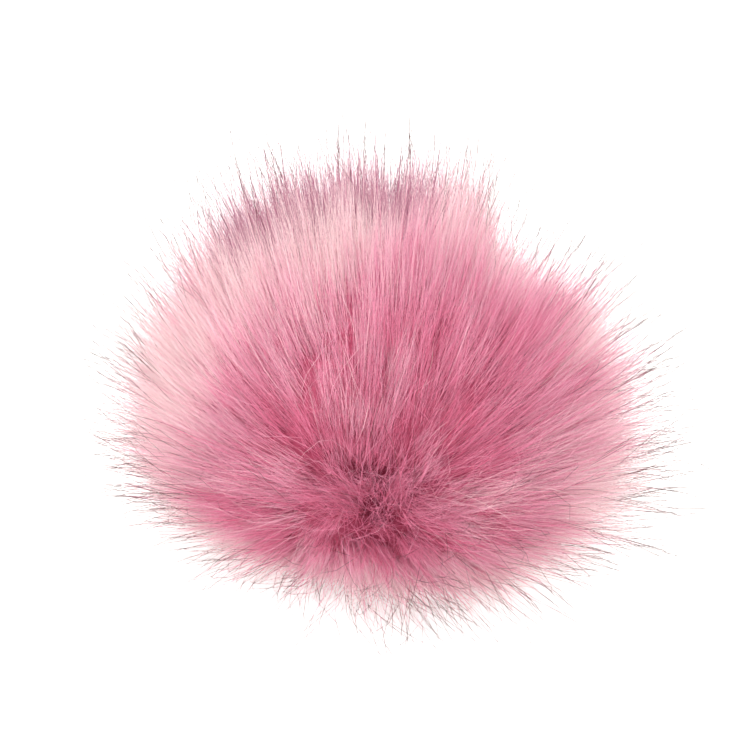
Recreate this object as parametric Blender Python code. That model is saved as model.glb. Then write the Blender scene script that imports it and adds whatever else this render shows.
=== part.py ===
"""A faux-fur pompom lying on a table: one circle of long-pile fur gathered into a ball.

The stuffed ball of backing and the locks of pile that stand on it are one closed solid, as they
are one piece of cloth. Each lock grows from its own patch of the backing and keeps inside the
space that this patch sweeps as the pile fans out, so no lock meets its neighbour. The pile
beneath is pressed flat: the ball has a flat spot there, and the lowest locks lie along the table.

Metres, +Z up. The origin is on the table, under the middle of the pompom. The side with the
parting, where the pile points straight out, faces -Y.
"""

import math
import random

import bmesh
import bpy
from mathutils import Matrix, Vector, noise

# Driving dimensions
BALL_RADIUS = 0.027  # the gathered backing with its stuffing
BALL_HEIGHT = 0.0245  # the ball's centre above the table, less than its radius: a flat spot
SIDE_REACH = 0.0735  # from the ball's centre to the tips of the pile at the sides
DEPTH_REACH = 0.058  # the same, to the front and the back
CROWN_REACH = 0.060  # the same, straight up
TABLE_SHARE = 0.80  # the reach along the table, as a share of the reach above it
CROWDING_POWER = 1.85  # how much more the lowest pile is crowded upwards than that above it

# How the pile leans and how uneven it is
NAP_SHIFT = Vector((-0.001, 0.0107, 0.003))  # how far the lean carries the tips, up and back
NAP_HEIGHT = 0.077  # the lean grows with height as far as this
CROWN_GATHER = 0.09  # how much the lean draws the pile in from the sides, as a share
LUMP_HEIGHT = 0.0012  # how far the stuffing swells and dents the backing
LUMP_SIZE = 0.018
PATCH_JITTER = 0.11  # unevenness of the patches, as a share of a patch's side
LENGTH_SPREAD = (0.90, 1.06)  # shortest and longest ordinary lock, as shares of the reach
WISP_LENGTHS = (1.07, 1.15)  # the few locks that stand proud
WISP_SHARE = 0.08
TIP_WANDER = 0.45  # how far a tip strays from the middle of its own space
SEED = 11

# Where the outline swells or is hollow: a direction from the ball's centre, the change in
# reach at its middle as a share, and how quickly it fades
SWELLS = (
    {"towards": Vector((0.61, 0.51, 0.61)), "gain": -0.10, "fade": 24.0},
    {"towards": Vector((-0.95, -0.20, 0.20)), "gain": -0.08, "fade": 4.0},
    {"towards": Vector((-0.20, -0.95, -0.25)), "gain": -0.16, "fade": 2.6},
    {"towards": Vector((-0.10, 0.60, 0.78)), "gain": 0.06, "fade": 4.0},
)

# Sections of a lock above its root: the share of its length that each stands at, and the share
# of its space that it fills. The tip follows the last of them.
ROOT_MARGIN = 0.00028  # the strip of backing between a patch's edge and its lock's root
SECTIONS = (
    {"along": 0.42, "fills": 0.80},
    {"along": 0.76, "fills": 0.50},
)

BALL_SUBDIVISIONS = 3  # 320 patches of backing, some 20 of them on the flat spot
PATCHES_TURNED = math.radians(17)  # the patches' layout, turned about Z and tipped about X so
PATCHES_TIPPED = math.radians(23)  # that no row of patches lies level or square to the front
MOST_LOCKS = 300
FLAT_SPOT_DEPTH = 0.0032  # what the ball has lower than this is pressed on to the table

FUR_COLOUR = (0.66, 0.21, 0.31, 1.0)  # linear values of a dusty rose
FUR_ROUGHNESS = 0.75
SHARP_EDGE_ANGLE = math.radians(50)  # edges turned more than this stay crisp in shading

BALL_CENTRE = Vector((0.0, 0.0, BALL_HEIGHT))
TABLE_ANGLE_AT_BALL = math.pi / 2 + math.asin(BALL_HEIGHT / BALL_RADIUS)


def clear_scene():
    for old in list(bpy.data.objects):
        bpy.data.objects.remove(old, do_unlink=True)


def fur_material():
    material = bpy.data.materials.new("fur")
    material.use_nodes = True
    shader = material.node_tree.nodes["Principled BSDF"]
    shader.inputs["Base Color"].default_value = FUR_COLOUR
    shader.inputs["Roughness"].default_value = FUR_ROUGHNESS
    shader.inputs["Metallic"].default_value = 0.0
    return material


def direction(polar, turn):
    """The unit vector at an angle polar from straight up, turned about the vertical."""
    flat = math.sin(polar)
    return Vector((flat * math.cos(turn), flat * math.sin(turn), math.cos(polar)))


def angles(towards):
    """The polar angle and the turn of a vector from the ball's centre."""
    return math.acos(max(-1.0, min(1.0, towards.normalized().z))), math.atan2(towards.y, towards.x)


def reach(polar, turn):
    """From the ball's centre to the pile's tips, in a direction."""
    towards = direction(polar, turn)
    shares = (towards.x / SIDE_REACH, towards.y / DEPTH_REACH, towards.z / CROWN_REACH)
    length = 1.0 / Vector(shares).length
    table_angle = math.pi / 2 + math.asin(BALL_HEIGHT / SIDE_REACH)
    down = min(1.0, max(0.0, (polar - math.pi / 2) / (table_angle - math.pi / 2)))
    length *= 1.0 + (TABLE_SHARE - 1.0) * down**1.5
    for swell in SWELLS:
        off = 1.0 - towards.dot(swell["towards"].normalized())
        length *= 1.0 + swell["gain"] * math.exp(-swell["fade"] * off)
    return length


def lifted(polar, distance):
    """The polar angle that the pile rooted at polar has at a distance from the ball's centre.

    It fans out from the ball, crowded upwards so that the lowest of it runs along the table."""
    table_angle = math.pi / 2 + math.asin(min(1.0, BALL_HEIGHT / distance))
    crowding = 1.0 - table_angle / TABLE_ANGLE_AT_BALL
    polar = min(polar, TABLE_ANGLE_AT_BALL)
    return polar * (1.0 - crowding * (polar / TABLE_ANGLE_AT_BALL) ** CROWDING_POWER)


def pile_point(polar, turn, along):
    """Where the pile rooted at polar and turn has got to, at a share of its length."""
    end = reach(lifted(polar, SIDE_REACH), turn)
    distance = BALL_RADIUS + (end - BALL_RADIUS) * along
    point = BALL_CENTRE + direction(lifted(polar, distance), turn) * distance
    height = min(1.0, max(0.0, point.z / NAP_HEIGHT))
    lean = height**2 * (3.0 - 2.0 * height) * along**1.4
    point += NAP_SHIFT * lean
    point.x *= 1.0 - CROWN_GATHER * lean
    return point


def lumpy_ball():
    """The gathered backing: a ball of triangular patches, uneven, with its flat spot."""
    bm = bmesh.new()
    bmesh.ops.create_icosphere(bm, subdivisions=BALL_SUBDIVISIONS, radius=BALL_RADIUS)
    turned = Matrix.Rotation(PATCHES_TURNED, 4, "Z") @ Matrix.Rotation(PATCHES_TIPPED, 4, "X")
    bmesh.ops.rotate(bm, verts=bm.verts, cent=(0, 0, 0), matrix=turned.to_3x3())
    patch_side = sum(edge.calc_length() for edge in bm.edges) / len(bm.edges)
    dice = random.Random(SEED)
    for vert in bm.verts:
        stray = Vector((dice.uniform(-1, 1), dice.uniform(-1, 1), dice.uniform(-1, 1)))
        towards = (vert.co + stray * PATCH_JITTER * patch_side).normalized()
        swollen = BALL_RADIUS + LUMP_HEIGHT * noise.noise(towards * BALL_RADIUS / LUMP_SIZE)
        vert.co = BALL_CENTRE + towards * swollen
        if vert.co.z < FLAT_SPOT_DEPTH:
            vert.co.z = 0.0
    return bm


def patches_with_pile(bm):
    """The patches that carry a lock: all but those on the flat spot."""
    above = [face for face in bm.faces if max(vert.co.z for vert in face.verts) > 0.0]
    above.sort(key=lambda face: -face.calc_center_median().z)
    return above[:MOST_LOCKS]


class Lock:
    """One lock of pile: its patch's corners, and the length and wander that chance gives it."""

    def __init__(self, corners, dice):
        middle = sum(corners, Vector()) / len(corners)
        self.middle = angles(middle - BALL_CENTRE)
        self.on_table = [corner.z == 0.0 for corner in corners]
        self.corners = [angles(corner - BALL_CENTRE) for corner in corners]
        self.length = dice.uniform(*(WISP_LENGTHS if dice.random() < WISP_SHARE else LENGTH_SPREAD))
        shares = [dice.random() for _ in corners]
        self.pull = [share / sum(shares) - 1 / len(shares) for share in shares]

    def axis(self, along):
        """The lock's own middle line, which strays towards one corner of its space."""
        centre = pile_point(*self.middle, along * self.length)
        wander = TIP_WANDER * along**2
        for corner, pull in zip(self.corners, self.pull):
            centre += (pile_point(*corner, along * self.length) - centre) * pull * wander
        return centre

    def section(self, along, fills):
        """The lock's corners at a share of its length, those that lie on the table set down on it."""
        centre = self.axis(along)
        points = []
        for corner, lies in zip(self.corners, self.on_table):
            point = centre + (pile_point(*corner, along * self.length) - centre) * fills
            points.append(Vector((point.x, point.y, 0.0)) if lies else point)
        return points

    def tip(self):
        point = self.axis(1.0)
        return Vector((point.x, point.y, 0.0)) if sum(self.on_table) > 1 else point


def raise_lock(bm, patch, dice):
    """Insets a patch of backing and draws it out, section by section, to the lock's tip."""
    lock = Lock([vert.co.copy() for vert in patch.verts], dice)
    bmesh.ops.inset_individual(bm, faces=[patch], thickness=ROOT_MARGIN, use_even_offset=True)
    cap = patch
    for row in SECTIONS:
        cap = bmesh.ops.extrude_discrete_faces(bm, faces=[cap])["faces"][0]
        for vert, place in zip(cap.verts, lock.section(row["along"], row["fills"])):
            vert.co = place
    tip = bmesh.ops.poke(bm, faces=[cap])["verts"][0]
    tip.co = lock.tip()


def fur_ball():
    """The whole piece of fur as one closed mesh, standing at the origin."""
    bm = lumpy_ball()
    dice = random.Random(SEED)
    for patch in patches_with_pile(bm):
        raise_lock(bm, patch, dice)
    low = Vector([min(vert.co[axis] for vert in bm.verts) for axis in range(3)])
    high = Vector([max(vert.co[axis] for vert in bm.verts) for axis in range(3)])
    middle = (low + high) / 2
    bmesh.ops.translate(bm, verts=bm.verts, vec=(-middle.x, -middle.y, 0.0))
    bmesh.ops.triangulate(bm, faces=bm.faces)
    mesh = bpy.data.meshes.new("gathered_fur_ball")
    bm.to_mesh(mesh)
    bm.free()
    mesh.materials.append(fur_material())
    return mesh


def main():
    clear_scene()
    parts = bpy.data.collections.new("fur_pompom")
    bpy.context.scene.collection.children.link(parts)
    mesh = fur_ball()
    ball = bpy.data.objects.new("gathered_fur_ball", mesh)
    parts.objects.link(ball)
    mesh.shade_smooth()
    mesh.set_sharp_from_angle(angle=SHARP_EDGE_ANGLE)


main()
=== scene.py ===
# %% [markdown]
# # A faux-fur pompom, hair by hair
#
# The object is one circle of long-pile fur, gathered at its edge and drawn up round its stuffing
# into a ball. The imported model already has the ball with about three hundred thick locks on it.
# This lesson replaces that stand-in with what a real pompom shows: a dense short underfur, long
# soft pile that is combed up and back, and fine guard hairs with dark tips that stand out past it.
#
# Blender has a hair system, but its curves aren't meshes, so they couldn't be reused as a solid
# shape. Every hair here is a tiny closed mesh. One hair is modelled with bmesh, and numpy copies it
# along tens of thousands of growth lines.

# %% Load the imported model
import math

import bmesh
import bpy
import numpy as np
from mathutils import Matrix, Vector


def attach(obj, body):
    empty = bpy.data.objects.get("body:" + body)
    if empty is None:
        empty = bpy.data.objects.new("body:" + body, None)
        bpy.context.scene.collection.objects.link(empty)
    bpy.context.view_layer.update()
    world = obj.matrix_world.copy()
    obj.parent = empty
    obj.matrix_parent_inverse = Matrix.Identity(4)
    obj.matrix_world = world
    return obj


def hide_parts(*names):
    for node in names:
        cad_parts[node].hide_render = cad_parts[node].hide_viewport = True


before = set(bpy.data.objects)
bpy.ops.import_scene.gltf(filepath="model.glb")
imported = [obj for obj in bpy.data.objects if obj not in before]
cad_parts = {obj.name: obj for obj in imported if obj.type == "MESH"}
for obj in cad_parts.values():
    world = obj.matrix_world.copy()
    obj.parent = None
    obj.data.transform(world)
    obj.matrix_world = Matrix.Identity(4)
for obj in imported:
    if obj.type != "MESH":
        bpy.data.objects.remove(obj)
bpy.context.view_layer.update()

FUR_NODE = "gathered_fur_ball"
BODY = "root"

# %% [markdown]
# ## Sizes
#
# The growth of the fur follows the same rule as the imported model, so the ball and the reach of the
# pile repeat its sizes. The ball's centre is given from the middle of the model's outline. Fine
# hair can follow the photographed outline more closely than thick locks, so the swells and hollows
# are set again here: a direction from the ball's centre, the change in reach there as a share, and
# how quickly it fades. The first five give the shallow step at the upper right.

# %% Sizes of the ball and its pile
BALL_RADIUS = 0.027
BALL_CENTRE = np.array((-0.0046, -0.0095, 0.0245))
SIDE_REACH = 0.0735
DEPTH_REACH = 0.058
CROWN_REACH = 0.060
TABLE_SHARE = 0.80
CROWDING_POWER = 1.85
NAP_SHIFT = np.array((-0.001, 0.0107, 0.003))
NAP_HEIGHT = 0.077
CROWN_GATHER = 0.09
SWELLS = (
    {"towards": (0.70, 0.45, 0.56), "gain": -0.16, "fade": 50.0},
    {"towards": (0.68, 0.17, 0.71), "gain": -0.13, "fade": 36.0},
    {"towards": (0.50, 0.51, 0.70), "gain": 0.12, "fade": 50.0},
    {"towards": (0.88, 0.20, 0.42), "gain": 0.06, "fade": 20.0},
    {"towards": (0.36, 0.62, 0.70), "gain": 0.07, "fade": 30.0},
    {"towards": (0.75, -0.60, -0.25), "gain": 0.12, "fade": 5.0},
    {"towards": (-0.95, -0.20, 0.20), "gain": -0.06, "fade": 4.0},
    {"towards": (-0.20, -0.95, -0.25), "gain": -0.24, "fade": 2.6},
    {"towards": (-0.20, 0.60, 0.77), "gain": 0.10, "fade": 4.0},
)
BALL_HEIGHT = BALL_CENTRE[2]
TABLE_ANGLE_AT_BALL = math.pi / 2 + math.asin(BALL_HEIGHT / BALL_RADIUS)
print("the pile is", round((SIDE_REACH - BALL_RADIUS) * 1000), "mm long at the sides")

# %% [markdown]
# ## Camera
#
# The photograph looks down at the pompom at about 40 degrees, from close by and through a long
# lens. The camera is aimed so that the ball's centre falls a little below the picture's middle,
# because the combed fur rises well above it.

# %% Camera
VIEW_ELEVATION = math.radians(40)
VIEW_DISTANCE = 0.50
LENS_MM = 100.0
AIM_ABOVE_BALL = 0.0131
AIM_RIGHT_OF_BALL = 0.0014

view_away = Vector((0, -math.cos(VIEW_ELEVATION), math.sin(VIEW_ELEVATION)))
view_up = Vector((0, math.sin(VIEW_ELEVATION), math.cos(VIEW_ELEVATION)))
view_right = Vector((1, 0, 0))
aim = Vector(BALL_CENTRE) + view_up * AIM_ABOVE_BALL + view_right * AIM_RIGHT_OF_BALL
camera_data = bpy.data.cameras.new("camera")
camera_data.lens = LENS_MM
camera_data.clip_start = 0.01
camera = bpy.data.objects.new("camera", camera_data)
camera.location = aim + view_away * VIEW_DISTANCE
camera.rotation_euler = (math.pi / 2 - VIEW_ELEVATION, 0, 0)
bpy.context.scene.collection.objects.link(camera)
bpy.context.scene.camera = camera
print("the camera is at", [round(value, 3) for value in camera.location])

# %% [markdown]
# ## Light and floor
#
# The photograph is high-key: the ground is pure white, there is hardly a shadow, and the fur is
# palest at the upper left. So the world is bright white, the floor is white and glows a little, and
# a large soft lamp hangs high above it, somewhat behind and to the left. The Standard view keeps
# white white, where the default one would turn it grey.

# %% Light and floor
WORLD_STRENGTH = 1.72
KEY_WATTS = 4.0
KEY_SIZE = 0.8
KEY_PLACE = Vector((-0.26, 0.34, 0.95))
FLOOR_SIDE = 3.0
FLOOR_GLOW = 0.6

bpy.context.scene.view_settings.view_transform = "Standard"
world = bpy.data.worlds.new("studio")
world.use_nodes = True
world.node_tree.nodes["Background"].inputs["Color"].default_value = (1.0, 1.0, 1.0, 1.0)
world.node_tree.nodes["Background"].inputs["Strength"].default_value = WORLD_STRENGTH
bpy.context.scene.world = world

key_data = bpy.data.lights.new("key_lamp", "AREA")
key_data.shape = "DISK"
key_data.size = KEY_SIZE
key_data.energy = KEY_WATTS
key = bpy.data.objects.new("key_lamp", key_data)
key.location = KEY_PLACE
key.rotation_euler = (Vector(BALL_CENTRE) - KEY_PLACE).to_track_quat("-Z", "Y").to_euler()
bpy.context.scene.collection.objects.link(key)


def plain_floor():
    bm = bmesh.new()
    bmesh.ops.create_grid(bm, x_segments=1, y_segments=1, size=FLOOR_SIDE / 2)
    mesh = bpy.data.meshes.new("floor")
    bm.to_mesh(mesh)
    bm.free()
    floor = bpy.data.objects.new("floor", mesh)
    bpy.context.scene.collection.objects.link(floor)
    material = bpy.data.materials.new("white_ground")
    material.use_nodes = True
    shader = material.node_tree.nodes["Principled BSDF"]
    shader.inputs["Base Color"].default_value = (0.75, 0.745, 0.735, 1.0)
    shader.inputs["Roughness"].default_value = 0.9
    shader.inputs["Specular IOR Level"].default_value = 0.1
    shader.inputs["Emission Color"].default_value = (1.0, 0.995, 0.98, 1.0)
    shader.inputs["Emission Strength"].default_value = FLOOR_GLOW
    mesh.materials.append(material)
    return floor


plain_floor()
print("the key lamp is", round((Vector(BALL_CENTRE) - KEY_PLACE).length, 2), "m away")

# %% [markdown]
# ## The growth rule
#
# Each hair is rooted somewhere on the gathered ball, at an angle from straight up and a turn about
# the vertical. It runs outwards, the lowest hair is crowded up until it runs along the table, and
# the nap carries it up and back. The rule is one smooth stretching of space, so hairs that follow
# it fan out without ever crossing, as combed fur does. Disorder is added afterwards, on purpose.

# %% The growth rule


def directions(polar, turn):
    flat = np.sin(polar)
    return np.stack((flat * np.cos(turn), flat * np.sin(turn), np.cos(polar)), axis=-1)


def reach(polar, turn):
    towards = directions(polar, turn)
    length = 1.0 / np.linalg.norm(towards / (SIDE_REACH, DEPTH_REACH, CROWN_REACH), axis=-1)
    table_angle = math.asin(BALL_HEIGHT / SIDE_REACH)
    down = np.clip((polar - math.pi / 2) / table_angle, 0.0, 1.0)
    length = length * (1.0 + (TABLE_SHARE - 1.0) * down**1.5)
    for swell in SWELLS:
        middle = np.array(swell["towards"]) / np.linalg.norm(swell["towards"])
        length = length * (1.0 + swell["gain"] * np.exp(-swell["fade"] * (1.0 - towards @ middle)))
    return length


def lifted(polar, distance):
    table_angle = math.pi / 2 + np.arcsin(np.minimum(1.0, BALL_HEIGHT / distance))
    crowding = 1.0 - table_angle / TABLE_ANGLE_AT_BALL
    polar = np.minimum(polar, TABLE_ANGLE_AT_BALL)
    return polar * (1.0 - crowding * (polar / TABLE_ANGLE_AT_BALL) ** CROWDING_POWER)


def grown(polar, turn, along):
    """Points at shares of the way from the backing to the tips, for hairs rooted at two angles."""
    end = reach(lifted(polar, SIDE_REACH), turn)
    distance = BALL_RADIUS + (end - BALL_RADIUS) * along
    point = BALL_CENTRE + directions(lifted(polar, distance), turn) * distance[..., None]
    height = np.clip(point[..., 2] / NAP_HEIGHT, 0.0, 1.0)
    lean = height**2 * (3.0 - 2.0 * height) * np.maximum(along, 0.0) ** 1.4
    point = point + NAP_SHIFT * lean[..., None]
    point[..., 0] -= (point[..., 0] - BALL_CENTRE[0]) * CROWN_GATHER * lean
    return point


crown = grown(np.array([0.0]), np.array([0.0]), np.array([1.0]))[0]
print("the pile's top is", round(crown[2] * 1000), "mm above the table")

# %% [markdown]
# ## One hair
#
# A hair is a very slim cone with three sides. Three sides are enough, because it is thinner than a
# pixel and smooth shading rounds it. It starts as a cone primitive along Z and is cut across where
# it has to bend. Its own profile then replaces the cone's straight sides.

# %% One hair as a mesh


def hair_template(cuts):
    """The corners (side, side, share of the length) and triangles of a hair bent at the cuts."""
    bm = bmesh.new()
    bmesh.ops.create_cone(
        bm, cap_ends=True, cap_tris=False, segments=3, radius1=1.0, radius2=0.0, depth=1.0
    )
    bmesh.ops.translate(bm, verts=bm.verts, vec=(0, 0, 0.5))
    for share in cuts:
        everything = bm.verts[:] + bm.edges[:] + bm.faces[:]
        bmesh.ops.bisect_plane(bm, geom=everything, plane_co=(0, 0, share), plane_no=(0, 0, 1))
    bmesh.ops.remove_doubles(bm, verts=bm.verts, dist=1e-5)
    bmesh.ops.recalc_face_normals(bm, faces=bm.faces)
    bmesh.ops.triangulate(bm, faces=bm.faces)
    bm.verts.index_update()
    corners = np.array([vert.co[:] for vert in bm.verts])
    triangles = np.array([[vert.index for vert in face.verts] for face in bm.faces])
    bm.free()
    across = np.linalg.norm(corners[:, :2], axis=1)
    wide = across > 1e-6
    corners[wide, :2] /= across[wide, None]
    return corners, triangles


STRAIGHT = ()
ONE_BEND = (0.5,)
TWO_BENDS = (0.36, 0.70)
THREE_BENDS = (0.28, 0.55, 0.80)
FIVE_BENDS = (0.16, 0.32, 0.48, 0.64, 0.80)
for cuts in (STRAIGHT, ONE_BEND, TWO_BENDS, THREE_BENDS, FIVE_BENDS):
    corners, triangles = hair_template(cuts)
    print("a hair with", len(cuts), "bends has", len(triangles), "triangles")

# %% [markdown]
# ## Many hairs
#
# Roots are laid on the ball along a spiral that spaces them evenly, then nudged so that no rows
# show. Hairs of real fur lean together into small locks: every hair here is drawn towards the
# nearest of about a thousand lock lines, more and more towards its tip. Neighbouring locks sway
# to different sides, and broader tufts of them do too. They may lean or sink, but no tuft stands
# proud of the coat. Each hair also bends a little by itself.
#
# The fur parts low in front, in a few short crevices. From there it is combed outwards, so it lies
# over itself in long strands: every point slides over the ball, away from the crevices, further
# towards the tip. Close to them the real fur is ruffled, so hairs bend and stray more there.
#
# The longest hairs are trimmed to a box with rounded sides, unevenly so that no cut shows. It is
# drawn in a little at the back, where the photograph shows nothing. All of the chance comes from
# one seeded generator, so each run gives the same fur.

# %% Roots and locks
SEED = 11
CREVICES = ((-0.18, -0.93, 0.31), (0.03, -0.97, 0.20), (0.16, -0.98, 0.10), (-0.05, -0.99, 0.04))
PARTING = np.mean(CREVICES, axis=0) / np.linalg.norm(np.mean(CREVICES, axis=0))
COMB_SLIDE = 0.022
COMB_POWER = 1.7
COMB_CLEARANCE = 0.022
COMB_ENDS_BEHIND = 0.5
COMB_BLEND = 0.9
CREVICE_WIDTH = 0.13
PARTING_FADE = 16.0
RUFFLE = 0.7
ROOT_NUDGE = 0.35
LOCK_COUNT = 1100
TUFT_COUNT = 150
LOCK_TONE = 0.06
LOCK_SWAY = 0.0009
TUFT_SWAY = 0.0017
SWAY_POWER = 1.5
CLUMPING = 0.85
CLUMP_SWAY = 4.2
CLUMP_POWER = (1.6, 0.8)
MOST_GATHERED = 0.95
TRIMMED_LOW = np.array((-0.0850, -0.0700, -0.1030))
TRIMMED_HIGH = np.array((0.0850, 0.0640, 0.1030))
TRIM_ROUNDNESS = 3
TRIM_SPREAD = (0.85, 1.0)
OFF_TABLE = 0.0004
COMPARED_AT_ONCE = 4000

dice = np.random.default_rng(SEED)


def even_roots(count, nudge):
    """Angles of points spread evenly over the part of the ball that is clear of the table."""
    step = np.arange(count) + 0.5
    lowest = math.cos(TABLE_ANGLE_AT_BALL)
    up = 1.0 - step / count * (1.0 - lowest)
    flat = np.sqrt(1 - up**2)
    turn = step * math.pi * (3.0 - math.sqrt(5.0))
    towards = np.stack((flat * np.cos(turn), flat * np.sin(turn), up), -1)
    spacing = math.sqrt(4 * math.pi / count)
    towards = towards + dice.normal(0.0, nudge * spacing, towards.shape)
    towards /= np.linalg.norm(towards, axis=1)[:, None]
    return np.arccos(np.clip(towards[:, 2], lowest, 1.0)), np.arctan2(towards[:, 1], towards[:, 0])


def nearest(towards, centres):
    """For each direction, the index of the centre that is nearest to it."""
    found = np.empty(len(towards), int)
    for start in range(0, len(towards), COMPARED_AT_ONCE):
        some = slice(start, start + COMPARED_AT_ONCE)
        found[some] = np.argmax(towards[some] @ centres.T, axis=1)
    return found


def from_ball(points):
    towards = points - BALL_CENTRE
    return towards / np.linalg.norm(towards, axis=-1)[..., None]


def near(towards, middle, fade):
    """1 in the direction of middle, falling away from it the sooner, the larger fade is."""
    return np.exp(-fade * (1.0 - towards @ (np.array(middle) / np.linalg.norm(middle))))


def smooth(share):
    share = np.clip(share, 0.0, 1.0)
    return share**2 * (3.0 - 2.0 * share)


def comb(points, along):
    """Slides points over the ball away from the crevices, further the nearer they are to tips."""
    towards = from_ball(points)
    slide = np.zeros_like(points)
    weights = 0.0
    for crevice in CREVICES:
        middle = np.array(crevice) / np.linalg.norm(crevice)
        facing = (towards @ middle)[..., None]
        away = towards * facing - middle
        weight = 1.0 / (1.0 - facing + CREVICE_WIDTH**2)
        slide += weight * away / (np.linalg.norm(away, axis=-1)[..., None] + CREVICE_WIDTH)
        weights = weights + weight
    in_front = smooth((towards @ PARTING + COMB_ENDS_BEHIND) / COMB_BLEND)
    clear = smooth(points[..., 2] / COMB_CLEARANCE)
    amount = COMB_SLIDE * np.clip(along, 0.0, 1.0) ** COMB_POWER * in_front * clear
    return points + slide / weights * amount[..., None]


def trimmed(points):
    """Draws a hair in towards the ball where its tip would stand too far out of the coat."""
    out = points[:, -1] - BALL_CENTRE
    room = np.where(out > 0, TRIMMED_HIGH, TRIMMED_LOW) - BALL_CENTRE
    reached = ((out / room) ** TRIM_ROUNDNESS).sum(axis=1) ** (1 / TRIM_ROUNDNESS)
    uneven = dice.uniform(*TRIM_SPREAD, len(points))
    share = np.where(reached > 1.0, uneven / reached, 1.0)
    return BALL_CENTRE + (points - BALL_CENTRE) * share[:, None, None]


def growth_lines(polar, turn, along, levels, gather, bend, stray):
    """Points on each hair, at shares of the reach given by along.

    levels are the same places as shares of the hair itself. gather is how far the tips are drawn
    to their lock's line, bend the hair's own curve in metres, and stray how far its tip wanders."""
    points = grown(polar[:, None], turn[:, None], along)
    home = nearest(directions(polar, turn), directions(*locks))
    line = grown(locks[0][home][:, None], locks[1][home][:, None], along)
    parted = near(from_ball(points[:, -1]), PARTING, PARTING_FADE)
    power = np.interp(parted, (0.0, 1.0), CLUMP_POWER)[:, None]
    pull = np.clip(gather + CLUMPING * parted, 0.0, MOST_GATHERED)[:, None]
    pull = pull * np.clip(along, 0, 1) ** power
    points = points + (line - points) * pull[..., None]
    points = comb(points, along)
    sway = lock_sway[home] * (1.0 + CLUMP_SWAY * parted)[:, None]
    outward = from_ball(points[:, -1])
    sway = sway - np.maximum((sway * outward).sum(axis=1), 0.0)[:, None] * outward
    points = points + sway[:, None] * (along**SWAY_POWER)[..., None]
    loose = (1.0 + RUFFLE * parted)[:, None, None]
    bow = dice.normal(0.0, bend, (len(polar), 1, 3)) * loose
    points = points + bow * (4 * levels * (1 - levels))[None, :, None]
    wander = dice.normal(0.0, stray, (len(polar), 1, 3)) * loose
    points = points + wander * (levels**2)[None, :, None]
    points = trimmed(points)
    points[..., 2] = np.maximum(points[..., 2], OFF_TABLE)
    return points, home


locks = even_roots(LOCK_COUNT, ROOT_NUDGE)
tufts = even_roots(TUFT_COUNT, ROOT_NUDGE)
tuft_of = nearest(directions(*locks), directions(*tufts))
lock_tone = dice.normal(0.0, LOCK_TONE, LOCK_COUNT)
lock_tone = lock_tone + dice.normal(0.0, LOCK_TONE, TUFT_COUNT)[tuft_of]
lock_sway = dice.normal(0.0, LOCK_SWAY, (LOCK_COUNT, 3))
lock_sway += dice.normal(0.0, TUFT_SWAY, (TUFT_COUNT, 3))[tuft_of]
print("the hairs lean into", LOCK_COUNT, "locks, in", TUFT_COUNT, "tufts")

# %% [markdown]
# ## From growth lines to a mesh
#
# Each hair's template is set along its own growth line: a corner takes the line's point at its
# share of the length and steps aside by the hair's half-width there. The copies are joined into
# one mesh, because thousands of separate objects would be slow. Every hair also gets a place on a
# small colour chart, its UV map: across for the hair's own tone and up for the way from root to
# tip. The materials then need nothing but that map.

# %% Joined hair meshes
CHART = "OFBake"
CHART_STEP = 0.002


def joined_hairs(name, points, cuts, half_width, taper, tone, way):
    """One mesh of closed hairs. taper is how late each slims down, the higher the later; tone and
    way place it on the colour chart, way being how far its points are from root to tip."""
    corners, triangles = hair_template(cuts)
    levels = np.array((0.0,) + tuple(cuts) + (1.0,))
    level = np.argmin(np.abs(corners[:, 2:3] - levels), axis=1)
    ahead = np.diff(points, axis=1)
    tangent = np.concatenate((ahead[:, :1], ahead[:, :-1] + ahead[:, 1:], ahead[:, -1:]), axis=1)
    tangent /= np.linalg.norm(tangent, axis=2)[..., None]
    aside = np.cross(tangent, dice.normal(0.0, 1.0, (len(points), 1, 3)))
    aside /= np.linalg.norm(aside, axis=2)[..., None]
    over = np.cross(tangent, aside)
    width = half_width[:, None, None] * (1.0 - levels[level] ** taper)[None, :, None]
    places = (
        points[:, level]
        + aside[:, level] * corners[None, :, 0:1] * width
        + over[:, level] * corners[None, :, 1:2] * width
    )
    count, size = places.shape[:2]
    faces = (triangles[None] + np.arange(count)[:, None, None] * size).reshape(-1, 3)
    mesh = bpy.data.meshes.new(name)
    mesh.vertices.add(count * size)
    mesh.vertices.foreach_set("co", places.reshape(-1).astype(np.float32))
    mesh.loops.add(len(faces) * 3)
    mesh.loops.foreach_set("vertex_index", faces.reshape(-1).astype(np.int32))
    mesh.polygons.add(len(faces))
    mesh.polygons.foreach_set("loop_start", np.arange(0, len(faces) * 3, 3, dtype=np.int32))
    mesh.update(calc_edges=True)
    across = tone[:, None] + corners[None, :, 0] * CHART_STEP
    chart = np.stack((across, way[:, level]), axis=-1).reshape(-1, 2)
    layer = mesh.uv_layers.new(name=CHART)
    layer.uv.foreach_set("vector", chart[faces.reshape(-1)].reshape(-1).astype(np.float32))
    mesh.shade_smooth()
    piece = bpy.data.objects.new(name, mesh)
    bpy.context.scene.collection.objects.link(piece)
    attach(piece, BODY)
    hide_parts(FUR_NODE)
    print(name, "has", count, "hairs and", len(faces), "triangles")
    return piece


# %% [markdown]
# ## Colour
#
# Dusty-rose fur is deep rose at its roots, clear pink along its length and almost white at its
# soft tips. Guard hairs are pink too, but end in a dark brown mauve. Each hair differs a little
# from its neighbours, which the chart's across direction gives.
#
# The kinds of hair share one node group. It reads a hair's place on the chart and gives its tone,
# the way to its tip, a roughness and the height of the faint scales along it. Colours are written
# as they look on a screen, and turned into Blender's linear values here.

# %% Colour helpers


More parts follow.
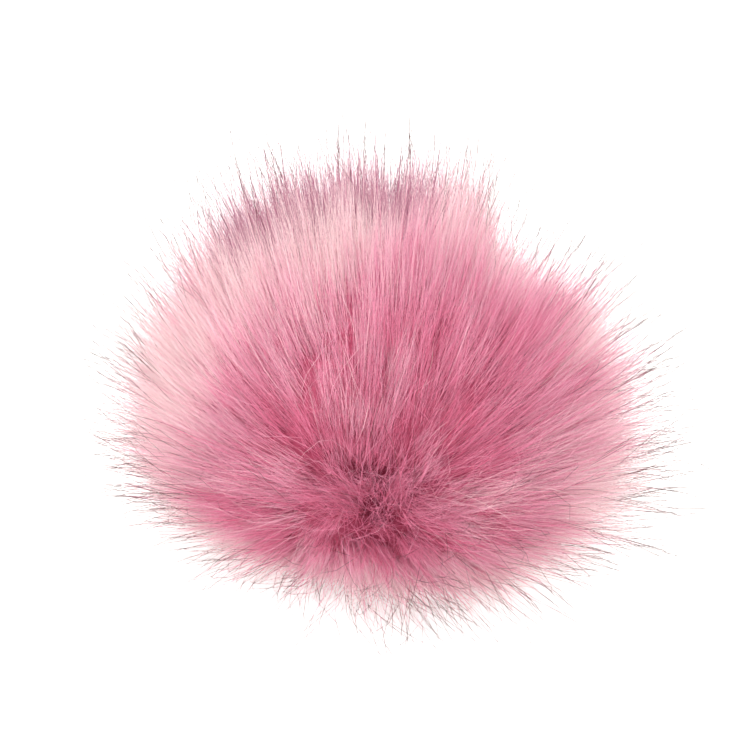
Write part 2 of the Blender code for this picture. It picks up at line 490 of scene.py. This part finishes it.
def screen_colour(red, green, blue):
    """Linear colour with alpha, from screen values of 0 to 255, by the sRGB rule."""
    linear = []
    for value in (red / 255, green / 255, blue / 255):
        if value <= 0.04045:
            linear.append(value / 12.92)
        else:
            linear.append(((value + 0.055) / 1.055) ** 2.4)
    return (*linear, 1.0)


def ramp_node(tree, stops):
    """A colour ramp with stops of (place, colour)."""
    ramp = tree.nodes.new("ShaderNodeValToRGB")
    ramp.color_ramp.interpolation = "EASE"
    while len(ramp.color_ramp.elements) < len(stops):
        ramp.color_ramp.elements.new(0.5)
    for element, (place, colour) in zip(ramp.color_ramp.elements, stops):
        element.position = place
        element.color = colour
    return ramp


def hair_group():
    """Chart coordinates in; tone, way to the tip, uneven roughness and scale height out."""
    group = bpy.data.node_groups.new("hair_chart", "ShaderNodeTree")
    group.interface.new_socket("Chart", in_out="INPUT", socket_type="NodeSocketVector")
    group.interface.new_socket("Rough Root", in_out="INPUT", socket_type="NodeSocketFloat")
    group.interface.new_socket("Rough Tip", in_out="INPUT", socket_type="NodeSocketFloat")
    for socket in ("Tone", "Way", "Roughness", "Height"):
        group.interface.new_socket(socket, in_out="OUTPUT", socket_type="NodeSocketFloat")
    nodes, links = group.nodes, group.links
    given = nodes.new("NodeGroupInput")
    result = nodes.new("NodeGroupOutput")
    split = nodes.new("ShaderNodeSeparateXYZ")
    links.new(given.outputs["Chart"], split.inputs["Vector"])
    links.new(split.outputs["X"], result.inputs["Tone"])
    links.new(split.outputs["Y"], result.inputs["Way"])
    rough = nodes.new("ShaderNodeMapRange")
    links.new(split.outputs["Y"], rough.inputs["Value"])
    links.new(given.outputs["Rough Root"], rough.inputs["To Min"])
    links.new(given.outputs["Rough Tip"], rough.inputs["To Max"])
    links.new(rough.outputs["Result"], result.inputs["Roughness"])
    scales = nodes.new("ShaderNodeTexNoise")
    scales.inputs["Scale"].default_value = 60.0
    scales.inputs["Detail"].default_value = 1.0
    links.new(given.outputs["Chart"], scales.inputs["Vector"])
    links.new(scales.outputs["Fac"], result.inputs["Height"])
    return group


HAIR_CHART = hair_group()
print("the hair group has", len(HAIR_CHART.nodes), "nodes")

# %% Hair materials
ROOT_TO_MIDDLE = (0.10, 0.55)
MIDDLE_TO_END = (0.50, 0.90)


def hair_material(name, tones, tip, tip_from, tip_full, rough_root, rough_tip):
    """tones are rows of (place across, root, middle, end); tip is the colour that the hair ends
    in, from tip_from of its length on and fully from tip_full."""
    material = bpy.data.materials.new(name)
    material.use_nodes = True
    tree = material.node_tree
    shader = tree.nodes["Principled BSDF"]
    chart = tree.nodes.new("ShaderNodeUVMap")
    chart.uv_map = CHART
    group = tree.nodes.new("ShaderNodeGroup")
    group.node_tree = HAIR_CHART
    group.inputs["Rough Root"].default_value = rough_root
    group.inputs["Rough Tip"].default_value = rough_tip
    tree.links.new(chart.outputs["UV"], group.inputs["Chart"])
    bands = []
    for column in (1, 2, 3):
        ramp = ramp_node(tree, [(row[0], row[column]) for row in tones])
        tree.links.new(group.outputs["Tone"], ramp.inputs["Fac"])
        bands.append(ramp.outputs["Color"])
    colour = bands[0]
    for other, start, end in (
        (bands[1], *ROOT_TO_MIDDLE),
        (bands[2], *MIDDLE_TO_END),
        (tip, tip_from, tip_full),
    ):
        share = tree.nodes.new("ShaderNodeMapRange")
        share.interpolation_type = "SMOOTHSTEP"
        share.inputs["From Min"].default_value = start
        share.inputs["From Max"].default_value = end
        tree.links.new(group.outputs["Way"], share.inputs["Value"])
        mix = tree.nodes.new("ShaderNodeMix")
        mix.data_type = "RGBA"
        tree.links.new(share.outputs["Result"], mix.inputs["Factor"])
        tree.links.new(colour, mix.inputs["A"])
        if isinstance(other, tuple):
            mix.inputs["B"].default_value = other
        else:
            tree.links.new(other, mix.inputs["B"])
        colour = mix.outputs["Result"]
    tree.links.new(colour, shader.inputs["Base Color"])
    tree.links.new(group.outputs["Roughness"], shader.inputs["Roughness"])
    bump = tree.nodes.new("ShaderNodeBump")
    bump.inputs["Strength"].default_value = 0.15
    bump.inputs["Distance"].default_value = 0.0001
    tree.links.new(group.outputs["Height"], bump.inputs["Height"])
    tree.links.new(bump.outputs["Normal"], shader.inputs["Normal"])
    shader.inputs["Specular IOR Level"].default_value = 0.12
    shader.inputs["Sheen Weight"].default_value = 0.05
    shader.inputs["Sheen Roughness"].default_value = 0.5
    shader.inputs["Sheen Tint"].default_value = screen_colour(255, 215, 225)
    return material


DEEP = screen_colour(208, 78, 114)
ROSE = screen_colour(225, 126, 157)
CLEAR = screen_colour(236, 168, 190)
SOFT_TIP = screen_colour(242, 184, 200)
BLUSH = screen_colour(246, 200, 208)
PALE = screen_colour(252, 224, 224)
# Mauves for the back band: partly the fur's own darker tips, partly painted shade.
MAUVE = screen_colour(194, 126, 150)
GREY_MAUVE = screen_colour(176, 114, 138)
DARK_TIP = screen_colour(80, 44, 38)
# Along the chart the tones run from deep to pale, and past 0.74 to mauve. Which hair gets which
# place, and so how much painted light or shade it carries, is set by the zones further down.
PILE_TONES = (
    (0.00, DEEP, DEEP, ROSE),
    (0.20, DEEP, ROSE, ROSE),
    (0.40, ROSE, ROSE, CLEAR),
    (0.55, ROSE, CLEAR, BLUSH),
    (0.70, CLEAR, BLUSH, PALE),
    (0.74, ROSE, MAUVE, GREY_MAUVE),
    (1.00, DEEP, GREY_MAUVE, MAUVE),
)
pile_fur = hair_material("soft_pile", PILE_TONES, SOFT_TIP, 0.94, 1.0, 0.75, 0.55)
guard_fur = hair_material("guard_hair", PILE_TONES, DARK_TIP, 0.56, 0.76, 0.60, 0.40)
print("materials:", [material.name for material in (pile_fur, guard_fur)])

# %% [markdown]
# ## Which hair has which tone
#
# The photographed fur isn't evenly pink, and much of that is light and shade, painted into the
# tones here. It is palest at the upper left, a painted highlight where the tips catch the light,
# and paler low by the table, painted light shining through the thin low fur. It is most saturated
# round the low parting, where the tips face the camera and to the right, all painted shade: of the
# parting's crevices, of the depth seen head-on, and of the side away from the lamp. Along the back
# edge it is greyer, a mauve band that is partly darker tips and partly painted shade of the fur
# behind the crest.
# Here each zone is a direction from the ball's centre, and every hair takes its tone from the
# zones that its tip is in, plus a share of chance so that the zones run into each other.

# %% Tones by place
PINKS = (0.01, 0.69)
MAUVES = (0.78, 0.99)
BASE_TONE = 0.18
# Painted shade of the low parting's crevices: hairs near it are pushed towards the deep tones.
PARTING_SHADE = 0.16
# Painted shade: hairs whose tips face the camera, where one looks down into the depth of the fur,
# keep the deep saturated tones; they turn paler the further their tips face away from it.
SATURATED_SIDE = np.array((-0.04, -0.76, 0.65))
PALING_FROM = 0.76
PALING_TO = 0.0
PALING = 0.42
# Painted light: hairs low by the table turn paler, standing for light that shines through the thin
# low fur.
LOW_PAINTED_GLOW = 0.32
LOW_HEIGHT = 0.024
# Painted light: each zone makes the hairs whose tips lie in it paler, a painted highlight where the
# lamp's light catches the tips, most of all at the upper left. The last zone, with a negative gain,
# is painted shade on the right.
PAINTED_LIGHT_ZONES = (
    {"towards": (-0.30, 0.20, 0.93), "fade": 14.0, "gain": 0.42},
    {"towards": (0.36, 0.30, 0.88), "fade": 14.0, "gain": 0.16},
    {"towards": (-0.84, -0.06, 0.54), "fade": 12.0, "gain": 0.30},
    {"towards": (-0.68, -0.66, 0.30), "fade": 12.0, "gain": 0.18},
    {"towards": (0.70, -0.62, 0.35), "fade": 8.0, "gain": 0.16},
    {"towards": (0.76, -0.10, 0.64), "fade": 16.0, "gain": -0.12},
)
# A mauve-grey band along the top of the back edge: partly the fur's own darker tips, partly painted
# shade of the fur behind the crest.
BACK_TIPS_AND_SHADE = (
    {"towards": (-0.42, 0.56, 0.72), "fade": 55.0, "gain": 4.0},
    {"towards": (-0.21, 0.62, 0.76), "fade": 50.0, "gain": 4.0},
    {"towards": (0.02, 0.63, 0.77), "fade": 50.0, "gain": 3.5},
)


def tones(tips, home, row):
    """A place across the chart for each hair, by where its tip is and which lock it is in."""
    towards = from_ball(tips)
    # Painted shade of the fur's depth, deepest where the tips face the camera.
    far = smooth((PALING_FROM - towards @ SATURATED_SIDE) / (PALING_FROM - PALING_TO))
    # Painted light through the low fur: paler the nearer the tips are to the table.
    low = smooth(1.0 - tips[:, 2] / LOW_HEIGHT)
    pink = BASE_TONE + PALING * far + LOW_PAINTED_GLOW * low + lock_tone[home]
    # Painted shade round the parting.
    pink -= PARTING_SHADE * near(towards, PARTING, PARTING_FADE)
    # Painted highlight and shade, zone by zone.
    for zone in PAINTED_LIGHT_ZONES:
        pink = pink + zone["gain"] * near(towards, zone["towards"], zone["fade"])
    pink = np.clip(pink + dice.normal(row["paler"], row["tone_spread"], len(tips)), *PINKS)
    # The back band's mauve: darker tips and painted shade.
    band = [zone["gain"] * near(towards, zone["towards"], zone["fade"]) for zone in BACK_TIPS_AND_SHADE]
    mauve_share = row["mauve"] * np.minimum(np.max(band, axis=0), 1.0)
    is_mauve = dice.random(len(tips)) < mauve_share
    return np.where(is_mauve, dice.uniform(*MAUVES, len(tips)), pink)


# %% [markdown]
# ## The underfur
#
# Near the backing the fur is so dense that no single hair shows. That depth is one closed body: a
# ball of fine triangles, pushed out along the same growth rule to part of the pile's length, with
# the hollows between locks left in it. It takes its tone from the hair that grows over it, by the
# same chart, in darker colours because little light gets down to it.

# %% Underfur body
UNDERFUR_SHARE = 0.52
UNDERFUR_HOLLOW = 0.16
UNDERFUR_OFF_TABLE = 0.0002
UNDERFUR_SUBDIVISIONS = 5
PARTING_DEPTH = 0.18
PARTING_DEPTH_FADE = 6.0
# Painted shade in the parting's crevices: the underfur turns dark maroon near a point deep in the
# parting and fades back to its own tone further out.
CREVICE_FLOOR = 0.036
CREVICE_SHADE_FULL = 0.002
CREVICE_SHADE_GONE = 0.020
# The underfur takes the hairs' painted light and shade too: its tone comes from the same zones, and
# its last row is the back band's mauve.
UNDERFUR_ROW = {"paler": 0.0, "tone_spread": 0.02, "mauve": 1.0}
UNDERFUR_TONES = (
    (0.00, screen_colour(150, 58, 84)),
    (0.25, screen_colour(172, 76, 102)),
    (0.45, screen_colour(192, 104, 128)),
    (0.69, screen_colour(216, 150, 164)),
    (0.74, screen_colour(176, 116, 136)),
)


def underfur_share(towards):
    """How much of the pile's length the underfur fills, less where the fur parts."""
    return UNDERFUR_SHARE - PARTING_DEPTH * near(towards, PARTING, PARTING_DEPTH_FADE)


def underfur():
    bm = bmesh.new()
    bmesh.ops.create_icosphere(bm, subdivisions=UNDERFUR_SUBDIVISIONS, radius=1.0)
    co = np.array([vert.co[:] for vert in bm.verts])
    polar = np.minimum(np.arccos(np.clip(co[:, 2], -1, 1)), math.pi)
    turn = np.arctan2(co[:, 1], co[:, 0])
    lock_towards = directions(*locks)
    home = nearest(co, lock_towards)
    off = np.arccos(np.clip((co * lock_towards[home]).sum(1), -1, 1))
    hollow = np.clip(off / math.sqrt(4 * math.pi / len(lock_towards)), 0, 1)
    share = underfur_share(co) * (1.0 - UNDERFUR_HOLLOW * hollow)
    places = grown(np.minimum(polar, TABLE_ANGLE_AT_BALL), turn, share)
    below = polar > TABLE_ANGLE_AT_BALL
    inward = np.sin(polar) / math.sin(TABLE_ANGLE_AT_BALL)
    rim = grown(np.full_like(polar, TABLE_ANGLE_AT_BALL), turn, share)
    flat = BALL_CENTRE + (rim - BALL_CENTRE) * inward[:, None]
    places[below] = flat[below]
    places[below, 2] = UNDERFUR_OFF_TABLE
    for vert, place in zip(bm.verts, places):
        vert.co = place
    bmesh.ops.recalc_face_normals(bm, faces=bm.faces)
    tone = tones(places, home, UNDERFUR_ROW)
    bm.verts.index_update()
    layer = bm.loops.layers.uv.new(CHART)
    for face in bm.faces:
        for loop in face.loops:
            loop[layer].uv = (tone[loop.vert.index], share[loop.vert.index])
    mesh = bpy.data.meshes.new("underfur")
    bm.to_mesh(mesh)
    bm.free()
    mesh.shade_smooth()
    piece = bpy.data.objects.new("underfur", mesh)
    bpy.context.scene.collection.objects.link(piece)
    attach(piece, BODY)
    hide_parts(FUR_NODE)
    print("underfur has", len(mesh.polygons), "triangles")
    return piece


def underfur_material():
    material = bpy.data.materials.new("underfur")
    material.use_nodes = True
    tree = material.node_tree
    shader = tree.nodes["Principled BSDF"]
    place = tree.nodes.new("ShaderNodeTexCoord")
    fibres = tree.nodes.new("ShaderNodeTexNoise")
    fibres.inputs["Scale"].default_value = 900.0
    fibres.inputs["Detail"].default_value = 4.0
    tree.links.new(place.outputs["Object"], fibres.inputs["Vector"])
    chart = tree.nodes.new("ShaderNodeUVMap")
    chart.uv_map = CHART
    split = tree.nodes.new("ShaderNodeSeparateXYZ")
    tree.links.new(chart.outputs["UV"], split.inputs["Vector"])
    local = ramp_node(tree, UNDERFUR_TONES)
    tree.links.new(split.outputs["X"], local.inputs["Fac"])
    shade = ramp_node(tree, [(0.3, (0.68, 0.64, 0.66, 1.0)), (0.7, (1.0, 1.0, 1.0, 1.0))])
    tree.links.new(fibres.outputs["Fac"], shade.inputs["Fac"])
    shaded = tree.nodes.new("ShaderNodeMix")
    shaded.data_type = "RGBA"
    shaded.blend_type = "MULTIPLY"
    shaded.inputs["Factor"].default_value = 1.0
    tree.links.new(local.outputs["Color"], shaded.inputs["A"])
    tree.links.new(shade.outputs["Color"], shaded.inputs["B"])
    # Painted shade: dark maroon is mixed in near the crevice point.
    off = tree.nodes.new("ShaderNodeVectorMath")
    off.operation = "DISTANCE"
    off.inputs[1].default_value = BALL_CENTRE + PARTING * CREVICE_FLOOR
    tree.links.new(place.outputs["Object"], off.inputs[0])
    parted = tree.nodes.new("ShaderNodeMapRange")
    parted.interpolation_type = "SMOOTHSTEP"
    parted.inputs["From Min"].default_value = CREVICE_SHADE_FULL
    parted.inputs["From Max"].default_value = CREVICE_SHADE_GONE
    tree.links.new(off.outputs["Value"], parted.inputs["Value"])
    mix = tree.nodes.new("ShaderNodeMix")
    mix.data_type = "RGBA"
    mix.inputs["A"].default_value = screen_colour(112, 30, 54)
    tree.links.new(parted.outputs["Result"], mix.inputs["Factor"])
    tree.links.new(shaded.outputs["Result"], mix.inputs["B"])
    tree.links.new(mix.outputs["Result"], shader.inputs["Base Color"])
    bump = tree.nodes.new("ShaderNodeBump")
    bump.inputs["Strength"].default_value = 0.6
    bump.inputs["Distance"].default_value = 0.0004
    tree.links.new(fibres.outputs["Fac"], bump.inputs["Height"])
    tree.links.new(bump.outputs["Normal"], shader.inputs["Normal"])
    rough = tree.nodes.new("ShaderNodeMapRange")
    rough.inputs["To Min"].default_value = 0.75
    rough.inputs["To Max"].default_value = 0.95
    tree.links.new(fibres.outputs["Fac"], rough.inputs["Value"])
    tree.links.new(rough.outputs["Result"], shader.inputs["Roughness"])
    shader.inputs["Specular IOR Level"].default_value = 0.1
    shader.inputs["Sheen Weight"].default_value = 0.1
    return material


underfur().data.materials.append(underfur_material())

# %% [markdown]
# ## The coat
#
# The rest is hair, in eight kinds. Short hairs fill the depth with soft colour. The pile is longer
# and gives the combed surface, and the finer fringe thins out past it into a soft edge. Guard
# hairs are longest, and their dark tips make the spiky rim, with some extra long ones low in front
# that lie out over the table. Stubble lines the crevices of the parting, and a few curly wisps
# cross it. At the back the hair above runs up and the hair below runs down, so some looser hairs
# fill the place between. Each kind is one row of a table, so a groomer could change the coat by
# changing numbers.
#
# Guard hairs are few where the fur faces the camera and many towards the rim, and wisps grow only
# round the parting. So a row also names a place, and what share of its hairs is kept far from it
# and near it, out of a number of spare roots for each hair. The tone has three columns: its
# spread, how much paler it is than its zone, and how readily it turns mauve at the back. Lengths
# are shares of the reach: the middle one, the spread, the shortest and the longest. Each hair
# starts a little below the underfur's surface, so that its root doesn't show.
#
# A mesh piece shouldn't grow past two hundred thousand triangles, so the larger kinds are split by
# where they grow, as a groomer would section the fur.

# %% Kinds of hair
ROOTED_BELOW = 0.16
GUARDS_FROM = (0.0, -0.55, 0.83)
LOW_FRONT = (0.05, -0.88, -0.47)
BACK_OPENING = (0.06, 0.98, 0.18)
# The mauve column is how readily a kind takes the back band's darker tips and painted shade.
COAT = (
    {
        "name": "short_hairs", "hairs": 56000, "spare": 2, "parts": 2, "cuts": STRAIGHT,
        "length": (0.70, 0.09, 0.50, 0.92), "half_width": (0.00006, 0.00009), "taper": 2.2,
        "gather": (0.1, 0.5), "bend": 0.0005, "stray": 0.0010, "tone_spread": 0.05, "paler": 0.0,
        "mauve": 0.97, "place": PARTING, "kept_far": 0.9, "kept_near": 1.3, "near_fade": 3.0,
        "material": pile_fur,
    },
    {
        "name": "pile", "hairs": 36000, "spare": 2, "parts": 2, "cuts": ONE_BEND,
        "length": (0.82, 0.10, 0.55, 1.04), "half_width": (0.00003, 0.00007), "taper": 2.6,
        "gather": (0.1, 0.5), "bend": 0.0006, "stray": 0.0013, "tone_spread": 0.08, "paler": 0.0,
        "mauve": 0.93, "place": PARTING, "kept_far": 0.9, "kept_near": 1.3, "near_fade": 3.0,
        "material": pile_fur,
    },
    {
        "name": "fringe", "hairs": 10000, "spare": 2, "parts": 1, "cuts": TWO_BENDS,
        "length": (1.02, 0.12, 0.75, 1.26), "half_width": (0.00002, 0.00005), "taper": 3.0,
        "gather": (0.0, 0.2), "bend": 0.0012, "stray": 0.0028, "tone_spread": 0.10, "paler": 0.05,
        "mauve": 0.85, "place": SATURATED_SIDE, "kept_far": 1.0, "kept_near": 0.2, "near_fade": 5.0,
        "material": pile_fur,
    },
    {
        "name": "guard_hairs", "hairs": 2600, "spare": 2, "parts": 1, "cuts": THREE_BENDS,
        "length": (1.25, 0.15, 0.85, 1.56), "half_width": (0.000045, 0.000065), "taper": 8.0,
        "gather": (0.0, 0.1), "bend": 0.0018, "stray": 0.0042, "tone_spread": 0.10, "paler": 0.0,
        "mauve": 0.7, "place": GUARDS_FROM, "kept_far": 1.0, "kept_near": -1.5, "near_fade": 3.0,
        "material": guard_fur,
    },
    {
        "name": "low_guards", "hairs": 170, "spare": 18, "parts": 1, "cuts": THREE_BENDS,
        "length": (1.80, 0.40, 1.20, 2.60), "half_width": (0.000045, 0.000065), "taper": 8.0,
        "gather": (0.0, 0.1), "bend": 0.0018, "stray": 0.0040, "tone_spread": 0.10, "paler": 0.0,
        "mauve": 0.0, "place": LOW_FRONT, "kept_far": 0.0, "kept_near": 1.0, "near_fade": 10.0,
        "material": guard_fur,
    },
    {
        "name": "stubble", "hairs": 3000, "spare": 6, "parts": 1, "cuts": STRAIGHT,
        "length": (0.44, 0.07, 0.32, 0.60), "half_width": (0.00005, 0.00008), "taper": 2.2,
        "gather": (0.0, 0.2), "bend": 0.0005, "stray": 0.0012, "tone_spread": 0.05, "paler": -0.05,
        "mauve": 0.0, "place": PARTING, "kept_far": 0.0, "kept_near": 1.0, "near_fade": 12.0,
        "material": pile_fur,
    },
    {
        "name": "back_fill", "hairs": 3600, "spare": 6, "parts": 1, "cuts": ONE_BEND,
        "length": (0.82, 0.10, 0.55, 1.04), "half_width": (0.00003, 0.00007), "taper": 2.6,
        "gather": (0.0, 0.2), "bend": 0.0016, "stray": 0.0042, "tone_spread": 0.08, "paler": 0.05,
        "mauve": 0.6, "place": BACK_OPENING, "kept_far": 0.0, "kept_near": 1.0, "near_fade": 12.0,
        "material": pile_fur,
    },
    {
        "name": "wisps", "hairs": 1500, "spare": 4, "parts": 1, "cuts": FIVE_BENDS,
        "length": (0.84, 0.08, 0.60, 1.00), "half_width": (0.00004, 0.00006), "taper": 3.0,
        "gather": (0.0, 0.2), "bend": 0.0026, "stray": 0.0060, "tone_spread": 0.10, "paler": 0.05,
        "mauve": 0.0, "place": PARTING, "kept_far": 0.0, "kept_near": 1.0, "near_fade": 7.0,
        "material": pile_fur,
    },
)


def sections(tips, parts):
    """Which section each hair belongs to, by the direction of its tip round the ball."""
    around = np.arctan2(tips[:, 1] - BALL_CENTRE[1], tips[:, 0] - BALL_CENTRE[0])
    part = np.empty(len(tips), int)
    part[np.argsort(around)] = np.arange(len(tips)) * parts // len(tips)
    return part


def chosen_roots(row):
    """Roots for a kind of hair, thinned out where its tips would be near the row's place."""
    polar, turn = even_roots(row["spare"] * row["hairs"], ROOT_NUDGE)
    tips = from_ball(grown(polar, turn, np.ones_like(polar)))
    closeness = near(tips, row["place"], row["near_fade"])
    kept = np.maximum(0.0, row["kept_far"] + (row["kept_near"] - row["kept_far"]) * closeness)
    chosen = dice.choice(len(polar), row["hairs"], replace=False, p=kept / kept.sum())
    return polar[chosen], turn[chosen]


def grow(row):
    polar, turn = chosen_roots(row)
    levels = np.array((0.0,) + row["cuts"] + (1.0,))
    mean, spread, shortest, longest = row["length"]
    length = np.clip(dice.normal(mean, spread, row["hairs"]), shortest, longest)
    start = underfur_share(directions(polar, turn)) - ROOTED_BELOW
    along = start[:, None] + (length - start)[:, None] * levels
    way = along / length[:, None]
    gather = dice.uniform(*row["gather"], row["hairs"])
    lines, home = growth_lines(polar, turn, along, levels, gather, row["bend"], row["stray"])
    tone = tones(lines[:, -1], home, row)
    part = sections(lines[:, -1], row["parts"])
    for number in range(row["parts"]):
        chosen = part == number
        half = dice.uniform(*row["half_width"], chosen.sum())
        name = f"{row['name']}_{number + 1}"
        piece = joined_hairs(
            name, lines[chosen], row["cuts"], half, row["taper"], tone[chosen], way[chosen]
        )
        piece.data.materials.append(row["material"])


for row in COAT:
    grow(row)
